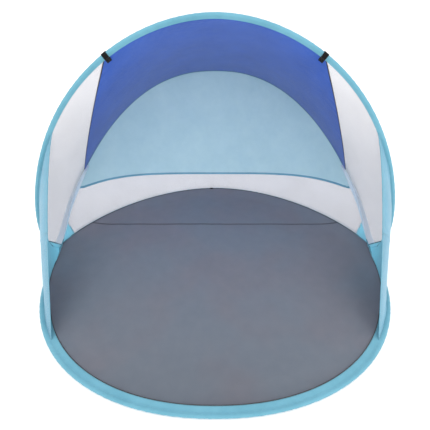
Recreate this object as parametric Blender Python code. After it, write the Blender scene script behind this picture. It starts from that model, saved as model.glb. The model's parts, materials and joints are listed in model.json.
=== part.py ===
"""A pop up shelter: two spring wire rings, folded across each other, that hold a skin of cloth and mesh.

Metres, +Z up, +X to the right, the open front towards -Y.  Ring one is the front arch and the rear
ground arc, ring two the rear arch and the front ground arc.  The rings cross low down at each side,
and that crossing is the line that the shelter folds about.
"""

import math

import bpy
import numpy as np

# Driving dimensions.
WIRE_DIAMETER = 0.0032
SLEEVE_WIDTH = 0.026
SLEEVE_THICKNESS = 0.012
SLEEVE_WALL = 0.0016
SLEEVE_BREAK = 0.004
CLOTH = 0.0012
GROUNDSHEET_THICKNESS = 0.002
GAP = 0.0004
PANEL_SPACING = 0.004
SEAM_EASE = 0.0030

OUTER_HALF_WIDTH = 1.000
RING_SPACING = 0.033
FRONT_ARCH_REACH = 1.293
FRONT_ARCH_LEAN = math.radians(8.3)
REAR_ARCH_REACH = 1.266
REAR_ARCH_LEAN = math.radians(51.8)
FRONT_GROUND_REACH = 0.981
REAR_GROUND_REACH = 0.816
RING_VERTEX_OFFSET = 0.066
CROSSING_BEND = 0.15
WAIST_DEPTH = 0.025
WAIST_SPAN = 0.20
PIVOT_CLEARANCE = 0.012
FOLD_AXIS_BACK = 0.030
FOLD_AXIS_UP = 0.010

ROOF_FRONT_CORNER = 0.693
ROOF_REAR_CORNER = 0.300
ROOF_SIDE_BOW = 0.018
ROOF_SAG = 0.020
BINDING_WIDTH = 0.008
BACK_HEM_DROP = 0.87
BACK_HEM_CORNER = 0.237
BACK_HEM_POWER = 3.3
BACK_PANEL_BULGE = 0.030
BACK_PANEL_SPAN = 0.93
REAR_MESH_TURN = 0.80
CORNER_PATCH_ON_ARCH = (0.080, 0.100)
CORNER_PATCH_ON_GROUND = (0.080, 0.155)
CROSSING_PATCH_REACH = 0.135
FAN_START = 0.095
GUSSET_START = 0.115
HEM_TOP = 0.441
HEM_BOTTOM = 0.423
HEM_WIDTH = 0.024
FLOOR_SEAM_Y = 0.290
FLOOR_RIM_RISE = 0.10
FLOOR_LEAST_HALF_WIDTH = 0.06
HEM_OVERLAP_SHARE = 0.04
LOOP_WIDTH = 0.025
LOOP_THICKNESS = 0.0022
LOOP_PAST_CORNER = 0.012
FERRULE_LENGTH = 0.045
FERRULE_WALL = 0.0012
PEG_LOOP_LENGTH = 0.045
PEG_LOOP_WIDTH = 0.030
PEG_LOOP_BAND = 0.008
PEG_LOOP_THICKNESS = 0.002

# Points along half of each half ring.
RING_STEPS = 25

# Shape of each half ring: how far it reaches, and the powers that square its outline along the
# reach and across the width (2 and 2 are a plain ellipse).
GROUND_LEVEL = SLEEVE_THICKNESS / 2 + GAP
RING_ONE = {
    "half_width": OUTER_HALF_WIDTH - SLEEVE_WIDTH / 2,
    "vertex_y": -RING_VERTEX_OFFSET,
    "arch": {"reach": FRONT_ARCH_REACH, "lean": FRONT_ARCH_LEAN, "powers": (2.23, 1.92)},
    "ground": {"reach": REAR_GROUND_REACH, "heading": 1, "powers": (1.63, 1.87)},
}
RING_TWO = {
    "half_width": OUTER_HALF_WIDTH - SLEEVE_WIDTH / 2 - RING_SPACING,
    "vertex_y": RING_VERTEX_OFFSET,
    "arch": {"reach": REAR_ARCH_REACH, "lean": REAR_ARCH_LEAN, "powers": (1.63, 2.28)},
    "ground": {"reach": FRONT_GROUND_REACH, "heading": -1, "powers": (2.57, 2.15)},
}
HALF_RINGS = {
    "front_arch": (RING_ONE, "arch"),
    "rear_ground": (RING_ONE, "ground"),
    "rear_arch": (RING_TWO, "arch"),
    "front_ground": (RING_TWO, "ground"),
}


def half_ring_directions(ring):
    """The straight directions, as (y, z), that the arch and the ground arc run in, past the bend."""
    lean = ring["arch"]["lean"]
    arch = np.array([math.sin(lean), math.cos(lean)])
    ground = np.array([float(ring["ground"]["heading"]), 0.0])
    return arch, ground


def ring_points(ring, part, count=600):
    """The wire's middle line on the right-hand side, from the crossing to the end of its reach."""
    arch, ground = half_ring_directions(ring)
    half = ring[part]
    reach_power, width_power = half["powers"]
    turn = np.linspace(0.0, math.pi / 2, count)
    reach = half["reach"] * np.sin(turn) ** (2 / reach_power)
    width = ring["half_width"] * np.abs(np.cos(turn)) ** (2 / width_power)
    width = width - WAIST_DEPTH * np.exp(-((reach / WAIST_SPAN) ** 2))
    along = reach if part == "arch" else -reach
    bend = np.hypot(along, CROSSING_BEND)
    side = ((along + bend)[:, None] * arch + (bend - along)[:, None] * ground) / 2
    points = np.column_stack([width, ring["vertex_y"] + side[:, 0], GROUND_LEVEL + side[:, 1]])
    points[-1, 0] = 0.0
    return points


def measured(points):
    """Distance run along a line of points, at each point."""
    steps = np.linalg.norm(np.diff(points, axis=0), axis=1)
    return np.concatenate([[0.0], np.cumsum(steps)])


CENTRE_LINES = {name: ring_points(*half) for name, half in HALF_RINGS.items()}
RUNS = {name: measured(line) for name, line in CENTRE_LINES.items()}


def on_ring(name, share, side=1.0):
    """A point of a half ring: share is 0 at the crossing and 1 at the middle of the shelter."""
    line, run = CENTRE_LINES[name], RUNS[name]
    at = np.clip(share, 0.0, 1.0) * run[-1]
    x, y, z = (np.interp(at, run, line[:, axis]) for axis in range(3))
    return np.array([side * x, y, z])


def fold_axis():
    """The line that the shelter folds about, as (y, z): just behind and above the crossing.

    There the four half rings pass beside each other all the way to the folded stack.
    """
    ends = [CENTRE_LINES["front_arch"][0], CENTRE_LINES["rear_arch"][0]]
    return np.mean(ends, axis=0)[1:] + np.array([FOLD_AXIS_BACK, FOLD_AXIS_UP])


def whole_half_ring(name, count, clearance):
    """Evenly spaced points of a half ring, right end to left end, stopping short of the crossing."""
    start = clearance / RUNS[name][-1]
    shares = np.linspace(start, 1.0, count)
    right = [on_ring(name, share) for share in shares]
    left = [on_ring(name, share, -1.0) for share in shares[-2::-1]]
    return np.array(right + left)


def material(name, colour, roughness, metallic=0.0, alpha=1.0):
    made = bpy.data.materials.get(name) or bpy.data.materials.new(name)
    made.use_nodes = True
    shader = made.node_tree.nodes["Principled BSDF"]
    shader.inputs["Base Color"].default_value = (*colour, 1.0)
    shader.inputs["Roughness"].default_value = roughness
    shader.inputs["Metallic"].default_value = metallic
    shader.inputs["Alpha"].default_value = alpha
    return made


def light_blue():
    return material("light_blue_polyester", (0.17, 0.50, 0.72), 0.6)


def pale_blue():
    return material("pale_blue_polyester", (0.30, 0.53, 0.66), 0.6)


def dark_blue():
    return material("dark_blue_polyester", (0.06, 0.14, 0.46), 0.55)


def mesh_white():
    return material("white_mesh", (0.66, 0.66, 0.69), 0.7, alpha=0.6)


def floor_grey():
    return material("grey_groundsheet", (0.16, 0.18, 0.23), 0.65)


def webbing_black():
    return material("black_webbing", (0.01, 0.01, 0.012), 0.8)


def spring_steel():
    return material("spring_steel", (0.45, 0.46, 0.48), 0.35, metallic=1.0)


def add_object(name, vertices, faces, surface, smooth=True):
    mesh = bpy.data.meshes.new(name)
    mesh.from_pydata([tuple(map(float, v)) for v in vertices], [], faces)
    mesh.update()
    if smooth:
        mesh.shade_smooth()
        mesh.set_sharp_from_angle(angle=math.radians(40))
    mesh.materials.append(surface)
    made = bpy.data.objects.new(name, mesh)
    bpy.context.scene.collection.objects.link(made)
    return made


def sweep_frames(points, middle=None):
    """For each point of a line: the direction away from the line's middle, and square to both."""
    ahead = np.gradient(points, axis=0)
    ahead /= np.linalg.norm(ahead, axis=1)[:, None]
    middle = points.mean(axis=0) if middle is None else middle
    frames = []
    for point, along in zip(points, ahead):
        across = point - middle
        across -= along * across.dot(along)
        across /= np.linalg.norm(across)
        frames.append((across, np.cross(along, across)))
    return frames


def sweep_tube(name, points, half_across, half_out, sides, surface, wall=0.0, middle=None):
    """An oval tube along a line, solid or, with a wall, hollow and open at both ends."""
    frames = sweep_frames(points, middle)
    shells = [(half_across, half_out)]
    if wall:
        shells.append((half_across - wall, half_out - wall))
    vertices, faces = [], []
    turns = [2 * math.pi * (k + 0.5) / sides for k in range(sides)]
    for wide, thick in shells:
        for point, (across, out) in zip(points, frames):
            vertices += [point + across * wide * math.cos(t) + out * thick * math.sin(t) for t in turns]
    count = len(points)

    def corner(shell, ring, k):
        return (shell * count + ring) * sides + k % sides

    for shell in range(len(shells)):
        for ring in range(count - 1):
            for k in range(sides):
                quad = [corner(shell, ring, k), corner(shell, ring, k + 1),
                        corner(shell, ring + 1, k + 1), corner(shell, ring + 1, k)]
                faces.append(quad[::-1] if shell else quad)
    for ring, flip in ((0, True), (count - 1, False)):
        if wall:
            for k in range(sides):
                quad = [corner(0, ring, k), corner(0, ring, k + 1), corner(1, ring, k + 1), corner(1, ring, k)]
                faces.append(quad[::-1] if flip else quad)
        else:
            cap = [corner(0, ring, k) for k in range(sides)]
            faces.append(cap[::-1] if flip else cap)
    made = add_object(name, vertices, faces, surface)
    face_outwards(made)
    return made


def face_outwards(made):
    """Turns a closed body's faces outwards, if it was built inside out."""
    mesh = made.data
    mesh.calc_loop_triangles()
    corners = np.array([[mesh.vertices[v].co for v in t.vertices] for t in mesh.loop_triangles])
    if np.linalg.det(corners).sum() < 0:
        mesh.flip_normals()


def add_sheet(name, grid, thickness, surface, offset=0.0):
    """A thin closed sheet on a grid of points."""
    rows, columns = len(grid), len(grid[0])
    vertices = [point for row in grid for point in row]
    faces = []
    for r in range(rows - 1):
        for c in range(columns - 1):
            at = r * columns + c
            faces.append([at, at + 1, at + columns + 1, at + columns])
    made = add_object(name, vertices, faces, surface)
    solid = made.modifiers.new("thickness", "SOLIDIFY")
    solid.thickness = thickness
    solid.offset = offset
    return made


def between(start, end, share, inset_start, inset_end):
    """A point on the line between two others, kept clear of both by the insets."""
    length = np.linalg.norm(end - start)
    first = inset_start / length
    last = 1 - inset_end / length
    return start + (end - start) * (first + (last - first) * share)


SLEEVE_INSET = SLEEVE_WIDTH / 2 + GAP
FLOOR_INSET = SLEEVE_INSET + SEAM_EASE
LOOP_CLEARANCE = LOOP_THICKNESS + 4 * GAP


def fan_grid(first, first_span, second, second_span, side, steps, cells, cover=(0.0, 1.0), swell=None):
    """Points of the cloth stretched between two half rings on one side of the shelter.

    Each span is the pair of shares where the cloth starts and ends on its half ring, and cover is
    the part of the way from the first ring to the second that this piece takes up.
    """
    grid = []
    for along in np.linspace(0.0, 1.0, steps):
        start = on_ring(first, np.interp(along, [0, 1], first_span), side)
        end = on_ring(second, np.interp(along, [0, 1], second_span), side)
        row = []
        for across in np.linspace(cover[0], cover[1], cells):
            inset = SLEEVE_INSET + SEAM_EASE * (1 - along)
            point = between(start, end, across, inset, inset)
            if swell:
                point = point + swell(along, across, side)
            row.append(point)
        grid.append(row)
    return grid


def roof_bow(share, side):
    """How far the roof's side edge bows outwards, a share of the way from the front to the rear arch."""
    return np.array([side * ROOF_SIDE_BOW * 4 * share * (1 - share), 0.0, 0.0])


def roof_dip(share):
    """The roof's own slight dip between the arches."""
    return np.array([0.0, 0.0, -ROOF_SAG * 4 * share * (1 - share)])


def make_wires_and_sleeves():
    """Each half ring's wire, and its sleeve, which is cut in two at the ferrule on the rear ground arc."""
    count = RING_STEPS
    for name in HALF_RINGS:
        line = whole_half_ring(name, count, PIVOT_CLEARANCE)
        radius = WIRE_DIAMETER / 2
        sweep_tube(name + "_wire", line, radius, radius, 6, spring_steel())
        cuts = [("_sleeve", line)]
        if name == "rear_ground":
            right, left = line[:count].copy(), line[count - 1:].copy()
            right[-1, 0] = SLEEVE_BREAK / 2
            left[0, 0] = -SLEEVE_BREAK / 2
            cuts = [("_sleeve_right", right), ("_sleeve_left", left)]
        for label, points in cuts:
            sweep_tube(name + label, points, SLEEVE_WIDTH / 2, SLEEVE_THICKNESS / 2, 8, light_blue(),
                       SLEEVE_WALL, line.mean(axis=0))


def make_ferrules():
    """A crimped tube closes each wire ring, in the middle of its ground arc."""
    for name in ("front_ground", "rear_ground"):
        share = 1 - FERRULE_LENGTH / 2 / RUNS[name][-1]
        line = np.array([on_ring(name, share), on_ring(name, 1.0), on_ring(name, share, -1.0)])
        outer = WIRE_DIAMETER / 2 + 2 * GAP + FERRULE_WALL
        sweep_tube(name + "_ferrule", line, outer, outer, 8, spring_steel(), FERRULE_WALL)


def make_roof():
    """The dark roof between the two arches, with a narrow binding down each side edge."""
    edge_front = BINDING_WIDTH / RUNS["front_arch"][-1]
    edge_rear = 2 * BINDING_WIDTH / RUNS["rear_arch"][-1]
    grid = []
    for across in np.linspace(-1.0, 1.0, 17):
        side = math.copysign(1.0, across)
        far = abs(across)
        start = on_ring("front_arch", 1 - far * (1 - ROOF_FRONT_CORNER - edge_front), side)
        end = on_ring("rear_arch", 1 - far * (1 - ROOF_REAR_CORNER - edge_rear), side)
        row = []
        for back in np.linspace(0.0, 1.0, 7):
            point = between(start, end, back, SLEEVE_INSET + LOOP_CLEARANCE, SLEEVE_INSET)
            row.append(point + roof_bow(back, side) * far**3 + roof_dip(back))
        grid.append(row)
    add_sheet("roof_panel", grid, CLOTH, dark_blue())


def make_side_panels(side, label):
    """What fills each side above the crossing: binding, mesh window and the patch at its foot."""
    edge_front = BINDING_WIDTH / 2 / RUNS["front_arch"][-1]
    edge_rear = BINDING_WIDTH / RUNS["rear_arch"][-1]

    def with_roof(along, across, side):
        return roof_bow(across, side) * along**3 + roof_dip(across) * along

    binding = fan_grid("front_arch", (ROOF_FRONT_CORNER - edge_front, ROOF_FRONT_CORNER + edge_front),
                       "rear_arch", (ROOF_REAR_CORNER - edge_rear, ROOF_REAR_CORNER + edge_rear),
                       side, 2, 9)
    for row in binding:
        for k, point in enumerate(row):
            back = k / (len(row) - 1)
            row[k] = point + roof_bow(back, side) + roof_dip(back)
    add_sheet("roof_binding_" + label, binding, CLOTH, webbing_black())

    mesh_top = (ROOF_FRONT_CORNER - 2 * edge_front, ROOF_REAR_CORNER - 2 * edge_rear)
    foot = CROSSING_PATCH_REACH + GAP * 2
    window = fan_grid("front_arch", (foot, mesh_top[0]), "rear_arch", (foot, mesh_top[1]),
                      side, 11, 7, swell=with_roof)
    add_sheet("side_mesh_" + label, window, CLOTH, mesh_white())
    patch = fan_grid("front_arch", (FAN_START, CROSSING_PATCH_REACH), "rear_arch", (FAN_START, CROSSING_PATCH_REACH),
                     side, 3, 4)
    add_sheet("crossing_patch_" + label, patch, CLOTH, light_blue())


def back_hem_point(across):
    """The lower edge of the back panel, from the rear arch on one side to the other."""
    side = math.copysign(1.0, across)
    far = abs(across)
    share = 1 - far * (1 - BACK_HEM_CORNER)
    arch, ground = on_ring("rear_arch", share, side), on_ring("rear_ground", share, side)
    return arch + (ground - arch) * BACK_HEM_DROP * (1 - far**BACK_HEM_POWER)


def back_bulge(across, down):
    """The back leans out a little between its edges, where people lean on it."""
    return np.array([0.0, BACK_PANEL_BULGE * 4 * down * (1 - down) * (1 - across**2), 0.0])


def make_back():
    """The pale back panel hangs from the rear arch, and a mesh strip joins its hem to the ground."""
    grid = []
    for across in np.linspace(-BACK_PANEL_SPAN, BACK_PANEL_SPAN, 19):
        side = math.copysign(1.0, across)
        top = on_ring("rear_arch", 1 - abs(across) * (1 - BACK_HEM_CORNER), side)
        hem = back_hem_point(across)
        row = []
        for down in np.linspace(0.0, 1.0, 6):
            row.append(between(top, hem, down, SLEEVE_INSET, GAP) + back_bulge(across, down))
        grid.append(row)
    add_sheet("back_panel", grid, CLOTH, pale_blue())

    grid = []
    for across in np.linspace(-1.0, 1.0, 21):
        side = math.copysign(1.0, across)
        far = abs(across)
        if far < REAR_MESH_TURN:
            top, inset = back_hem_point(BACK_PANEL_SPAN * across / REAR_MESH_TURN), GAP
        else:
            down = (far - REAR_MESH_TURN) / (1 - REAR_MESH_TURN)
            start, end = BACK_HEM_CORNER - PANEL_SPACING, CORNER_PATCH_ON_ARCH[1] + PANEL_SPACING
            top, inset = on_ring("rear_arch", start + (end - start) * down, side), SLEEVE_INSET
        foot = CORNER_PATCH_ON_GROUND[1] + PANEL_SPACING
        bottom = on_ring("rear_ground", 1 - far * (1 - foot), side)
        grid.append([between(top, bottom, down, inset, SLEEVE_INSET) for down in np.linspace(0.0, 1.0, 4)])
    add_sheet("rear_mesh", grid, CLOTH, mesh_white())
    for side, label in ((1.0, "right"), (-1.0, "left")):
        patch = fan_grid("rear_arch", CORNER_PATCH_ON_ARCH, "rear_ground", CORNER_PATCH_ON_GROUND, side, 3, 4)
        add_sheet("corner_patch_" + label, patch, CLOTH, light_blue())


def make_gussets(side, label):
    """The web from the crossing to the taut front hem, in an upper and a lower half."""
    width_top = HEM_WIDTH / RUNS["front_arch"][-1]
    width_bottom = HEM_WIDTH / RUNS["front_ground"][-1]
    for half, cover in (("upper", (0.0, 0.4995)), ("lower", (0.5005, 1.0))):
        web = fan_grid("front_arch", (GUSSET_START, HEM_TOP - width_top),
                       "front_ground", (GUSSET_START, HEM_BOTTOM - width_bottom), side, 8, 4, cover=cover)
        add_sheet("gusset_" + half + "_" + label, web, CLOTH, light_blue())
        kept = 1 - HEM_OVERLAP_SHARE
        hem = fan_grid("front_arch", (HEM_TOP - width_top * kept, HEM_TOP),
                       "front_ground", (HEM_BOTTOM - width_bottom * kept, HEM_BOTTOM),
                       side, 2, 5, cover=cover)
        add_sheet("hem_" + half + "_" + label, hem, CLOTH * 2, light_blue())


def floor_grid(name, y_from, y_to, rows, columns=13):
    """Part of the groundsheet inside one ground arc, between two lines across the shelter.

    It lies flat, and curves up to its rim, which follows the sleeve.
    """
    axis_y = fold_axis()[0]
    rim = CENTRE_LINES[name]
    inset = FLOOR_INSET
    order = np.argsort(rim[:, 1])
    end_y = rim[-1, 1] - math.copysign(inset, rim[-1, 1] - axis_y)
    y_to = end_y if y_to is None else y_to
    turns = np.linspace(0.0, math.pi / 2, rows)
    ease = np.sin(turns) if y_to == end_y else np.linspace(0.0, 1.0, rows)
    grid = []
    for y in y_from + (y_to - y_from) * ease:
        outline_y = axis_y + (y - axis_y) * (rim[-1, 1] - axis_y) / (end_y - axis_y)
        width = np.interp(outline_y, rim[order, 1], rim[order, 0]) - inset
        if name == "rear_ground":
            width -= RING_SPACING * max(0.0, 1 - abs(y - axis_y) / CROSSING_BEND)
        width = max(width, FLOOR_LEAST_HALF_WIDTH)
        rim_z = np.interp(y, rim[order, 1], rim[order, 2])
        row = []
        for share in np.sin(np.linspace(-math.pi / 2, math.pi / 2, columns)):
            from_rim = (1 - abs(share)) * width
            from_end = abs(y - end_y)
            near = max(0.0, 1 - min(from_rim, from_end) / FLOOR_RIM_RISE)
            low = GROUNDSHEET_THICKNESS / 2
            row.append(np.array([share * width, y, low + (rim_z - low) * near**2]))
        grid.append(row)
    return grid


def make_groundsheet():
    axis_y = fold_axis()[0]
    cut = GAP
    front = floor_grid("front_ground", axis_y - cut, None, 13)
    add_sheet("groundsheet_front", front, GROUNDSHEET_THICKNESS, floor_grey())
    middle = floor_grid("rear_ground", axis_y + cut, FLOOR_SEAM_Y - cut, 5)
    add_sheet("groundsheet_middle", middle, GROUNDSHEET_THICKNESS, floor_grey())
    rear = floor_grid("rear_ground", FLOOR_SEAM_Y + cut, None, 9)
    add_sheet("groundsheet_rear", rear, GROUNDSHEET_THICKNESS, floor_grey())


def make_webbing_loops():
    """A webbing band is sewn round the front arch's sleeve at each corner of the roof."""
    for side, label in ((1.0, "right"), (-1.0, "left")):
        half = LOOP_WIDTH / 2 / RUNS["front_arch"][-1]
        middle = ROOF_FRONT_CORNER + LOOP_PAST_CORNER
        ends = (middle - half, middle + half)
        line = np.array([on_ring("front_arch", share, side) for share in np.linspace(*ends, 3)])
        wide = SLEEVE_WIDTH / 2 + 3 * GAP + LOOP_THICKNESS
        thick = SLEEVE_THICKNESS / 2 + 3 * GAP + LOOP_THICKNESS
        sweep_tube("webbing_loop_" + label, line, wide, thick, 8, webbing_black(), LOOP_THICKNESS)


def make_peg_loop():
    """A small loop of webbing at the middle of the rear ground arc takes a peg."""
    end = on_ring("rear_ground", 1.0)
    start_y = end[1] + SLEEVE_INSET
    outer = PEG_LOOP_WIDTH / 2
    inner = outer - PEG_LOOP_BAND
    vertices, faces = [], []
    steps = 9
    for half in (outer, inner):
        for k in range(steps):
            turn = math.pi * k / (steps - 1)
            reach = (PEG_LOOP_LENGTH - outer + half) * math.sin(turn)
            for z in (GROUND_LEVEL - PEG_LOOP_THICKNESS / 2, GROUND_LEVEL + PEG_LOOP_THICKNESS / 2):
                vertices.append((half * math.cos(turn), start_y + reach, z))
    for k in range(steps - 1):
        a, b = 2 * k, 2 * k + 2
        c, d = a + 2 * steps, b + 2 * steps
        faces += [[a, b, b + 1, a + 1], [c + 1, d + 1, d, c], [a + 1, b + 1, d + 1, c + 1], [c, d, b, a]]
    last = 2 * (steps - 1)
    faces += [[1, 2 * steps + 1, 2 * steps, 0], [last, last + 2 * steps, last + 2 * steps + 1, last + 1]]
    made = add_object("peg_loop", vertices, faces, webbing_black())
    face_outwards(made)


def centre_on_footprint():
    """Moves the finished shelter so that the origin is below the middle of its box."""
    bpy.context.view_layer.update()
    graph = bpy.context.evaluated_depsgraph_get()
    ends = []
    for made in bpy.context.scene.objects:
        mesh = made.evaluated_get(graph).to_mesh()
        values = [v.co.y for v in mesh.vertices]
        ends += [min(values), max(values)]
    middle = (min(ends) + max(ends)) / 2
    for made in bpy.context.scene.objects:
        for vertex in made.data.vertices:
            vertex.co.y -= middle


for old in list(bpy.data.objects):
    bpy.data.objects.remove(old, do_unlink=True)
make_wires_and_sleeves()
make_ferrules()
make_roof()
for side_sign, side_name in ((1.0, "right"), (-1.0, "left")):
    make_side_panels(side_sign, side_name)
    make_gussets(side_sign, side_name)
make_back()
make_groundsheet()
make_webbing_loops()
make_peg_loop()
centre_on_footprint()
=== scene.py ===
"""A two-ring pop up shelter: sprung wire rings in sleeves, a roof, a back, mesh windows and a groundsheet."""

import json
import math

import bmesh
import bpy
import numpy as np
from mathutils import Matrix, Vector


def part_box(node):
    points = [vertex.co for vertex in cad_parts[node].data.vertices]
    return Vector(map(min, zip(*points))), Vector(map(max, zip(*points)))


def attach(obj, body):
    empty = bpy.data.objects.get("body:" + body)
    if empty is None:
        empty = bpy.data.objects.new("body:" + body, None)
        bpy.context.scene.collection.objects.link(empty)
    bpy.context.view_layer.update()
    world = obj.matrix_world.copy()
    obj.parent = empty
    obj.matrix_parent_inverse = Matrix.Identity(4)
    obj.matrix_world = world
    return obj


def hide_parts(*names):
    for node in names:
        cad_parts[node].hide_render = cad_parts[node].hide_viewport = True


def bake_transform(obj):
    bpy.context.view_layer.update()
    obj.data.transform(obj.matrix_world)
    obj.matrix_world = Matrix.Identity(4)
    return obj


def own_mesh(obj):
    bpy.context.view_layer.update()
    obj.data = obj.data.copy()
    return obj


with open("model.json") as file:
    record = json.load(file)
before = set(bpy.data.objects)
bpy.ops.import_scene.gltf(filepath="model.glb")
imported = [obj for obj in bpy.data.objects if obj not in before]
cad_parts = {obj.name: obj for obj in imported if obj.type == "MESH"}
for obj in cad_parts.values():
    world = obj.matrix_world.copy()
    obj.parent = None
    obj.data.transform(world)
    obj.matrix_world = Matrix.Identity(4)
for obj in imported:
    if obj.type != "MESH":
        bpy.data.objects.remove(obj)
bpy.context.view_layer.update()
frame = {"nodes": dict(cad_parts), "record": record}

# ---- Studio: camera, floor and lights ---------------------------------------------------------
# A moderately wide lens stands in front of the open side, above the arch, and looks down at the
# back panel.  The floor and the light are plain and soft, so the cloth carries the colour.

SENSOR_WIDTH = 36.0
LENS = 31.81
VIEW_DISTANCE = 2.072
VIEW_DOWN = math.radians(37.42)
VIEW_AIM = Vector((0.0, -0.0713, 0.334))

lens_data = bpy.data.cameras.new("studio_camera")
lens_data.sensor_width = SENSOR_WIDTH
lens_data.lens = LENS
lens_data.clip_end = 200.0
studio_camera = bpy.data.objects.new("studio_camera", lens_data)
studio_camera.location = VIEW_AIM + VIEW_DISTANCE * Vector((0.0, -math.cos(VIEW_DOWN), math.sin(VIEW_DOWN)))
studio_camera.rotation_euler = (math.pi / 2 - VIEW_DOWN, 0.0, 0.0)
bpy.context.scene.collection.objects.link(studio_camera)
bpy.context.scene.camera = studio_camera
bpy.context.scene.view_settings.view_transform = "Standard"


class Varying:
    """A number, colour or vector that changes over a surface: one output socket of a finish's nodes."""

    def __init__(self, finish, socket):
        self.finish = finish
        self.socket = socket

    def joined(self, operation, first, second=None):
        values = {0: first} if second is None else {0: first, 1: second}
        return self.finish.node("ShaderNodeMath", {"operation": operation}, values)

    def __add__(self, other):
        return self.joined("ADD", self, other)

    def __radd__(self, other):
        return self.joined("ADD", other, self)

    def __sub__(self, other):
        return self.joined("SUBTRACT", self, other)

    def __mul__(self, other):
        return self.joined("MULTIPLY", self, other)

    def __rmul__(self, other):
        return self.joined("MULTIPLY", other, self)

    def __truediv__(self, other):
        return self.joined("DIVIDE", self, other)

    def wave(self):
        """The sine of the number."""
        return self.joined("SINE", self)

    def kept(self):
        """The number, kept between 0 and 1."""
        made = self.joined("ADD", self, 0.0)
        made.socket.node.use_clamp = True
        return made


class Finish:
    """One cloth or metal's material, and the nodes that make it."""

    def __init__(self, name, roughness=0.6, metallic=0.0, sheen=0.0, specular=0.5):
        self.material = bpy.data.materials.new(name)
        self.material.use_nodes = True
        self.tree = self.material.node_tree
        self.shader = self.tree.nodes["Principled BSDF"]
        self.shader.inputs["Roughness"].default_value = roughness
        self.shader.inputs["Metallic"].default_value = metallic
        self.shader.inputs["Sheen Weight"].default_value = sheen
        self.shader.inputs["Specular IOR Level"].default_value = specular

    def node(self, kind, settings=None, values=None, output=0):
        """Adds a node: its settings first, then the values or links of its sockets."""
        made = self.tree.nodes.new(kind)
        for key, value in (settings or {}).items():
            if key == "stops":
                ramp = made.color_ramp
                while len(ramp.elements) < len(value):
                    ramp.elements.new(0.5)
                for element, (position, shade) in zip(ramp.elements, value):
                    element.position = position
                    element.color = (*shade, 1.0)
            else:
                setattr(made, key, value)
        for key, value in (values or {}).items():
            if isinstance(value, Varying):
                self.tree.links.new(value.socket, made.inputs[key])
            else:
                made.inputs[key].default_value = value
        return Varying(self, made.outputs[output])

    def feed(self, socket, value):
        self.tree.links.new(value.socket, self.shader.inputs[socket])

    def place(self):
        """The point in the object's own space, in metres."""
        return self.node("ShaderNodeTexCoord", output="Object")

    def cloth_uv(self):
        """Distance along and across the cloth, in metres, as a pair of numbers."""
        at = self.node("ShaderNodeUVMap", {"uv_map": "cloth"})
        split = self.node("ShaderNodeSeparateXYZ", values={0: at})
        return split, Varying(self, split.socket.node.outputs[1])

    def cloud(self, scale, detail=3.0, roughness=0.5, at=None):
        """Soft noise from 0 to 1; scale is in patches per metre."""
        values = {"Vector": at or self.place(), "Scale": scale, "Detail": detail, "Roughness": roughness}
        return self.node("ShaderNodeTexNoise", values=values)

    def shades(self, factor, *stops):
        return self.node("ShaderNodeValToRGB", {"stops": stops}, {0: factor})

    def tint(self, factor, first, second, blend="MIX"):
        """Mixes two colours by a factor."""
        made = self.tree.nodes.new("ShaderNodeMix")
        made.data_type = "RGBA"
        made.blend_type = blend
        for key, value in ((0, factor), (6, first), (7, second)):
            if isinstance(value, Varying):
                self.tree.links.new(value.socket, made.inputs[key])
            elif key:
                made.inputs[key].default_value = (*value, 1.0)
            else:
                made.inputs[key].default_value = value
        return Varying(self, made.outputs[2])

    def let_through(self, colour, part):
        """Lets part of the light through the cloth, in its own colour."""
        thin = self.node("ShaderNodeBsdfTranslucent", values={"Color": colour})
        solid = Varying(self, self.shader.outputs[0])
        mixed = self.node("ShaderNodeMixShader", values={0: part, 1: solid, 2: thin})
        self.tree.links.new(mixed.socket, self.tree.nodes["Material Output"].inputs["Surface"])

    def bump(self, height, distance, strength=1.0):
        """Feeds a height, from 0 to 1 of the distance in metres, to the surface's normal."""
        values = {"Height": height, "Distance": distance, "Strength": strength}
        self.feed("Normal", self.node("ShaderNodeBump", values=values))


def studio_floor():
    painted = Finish("studio_white", roughness=0.9, specular=0.1)
    painted.feed("Base Color", painted.shades(painted.cloud(0.8), (0.3, (0.955,) * 3), (0.7, (0.965,) * 3)))
    mesh = bpy.data.meshes.new("studio_floor")
    half, drop = 40.0, -0.0005
    corners = [(x * half, y * half, drop) for x, y in ((-1, -1), (1, -1), (1, 1), (-1, 1))]
    mesh.from_pydata(corners, [], [(0, 1, 2, 3)])
    mesh.materials.append(painted.material)
    floor = bpy.data.objects.new("studio_floor", mesh)
    bpy.context.scene.collection.objects.link(floor)


def soft_light(name, place, aim, size, power):
    lamp = bpy.data.lights.new(name, "AREA")
    lamp.shape = "SQUARE"
    lamp.size = size
    lamp.energy = power
    made = bpy.data.objects.new(name, lamp)
    made.location = place
    made.rotation_euler = (Vector(aim) - Vector(place)).to_track_quat("-Z", "Y").to_euler()
    bpy.context.scene.collection.objects.link(made)


studio_floor()
soft_light("key_light", (-1.2, -3.6, 3.4), (0.0, 0.3, 0.4), 3.5, 52.0)
soft_light("fill_light", (2.2, -3.0, 1.6), (0.0, 0.3, 0.4), 2.5, 24.0)
soft_light("top_light", (0.0, 1.0, 4.5), (0.0, 0.2, 0.4), 4.0, 45.0)
sky = bpy.data.worlds.new("studio_sky")
sky.use_nodes = True
sky.node_tree.nodes["Background"].inputs[0].default_value = (1.0, 1.0, 1.0, 1.0)
sky.node_tree.nodes["Background"].inputs[1].default_value = 1.28
bpy.context.scene.world = sky

# ---- Spring wire rings ------------------------------------------------------------------------
# Two endless rings of flat-tempered spring wire, each folded low down at both sides so that one
# half stands up as an arch and the other lies on the ground.  A crimped ferrule closes each.

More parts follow.
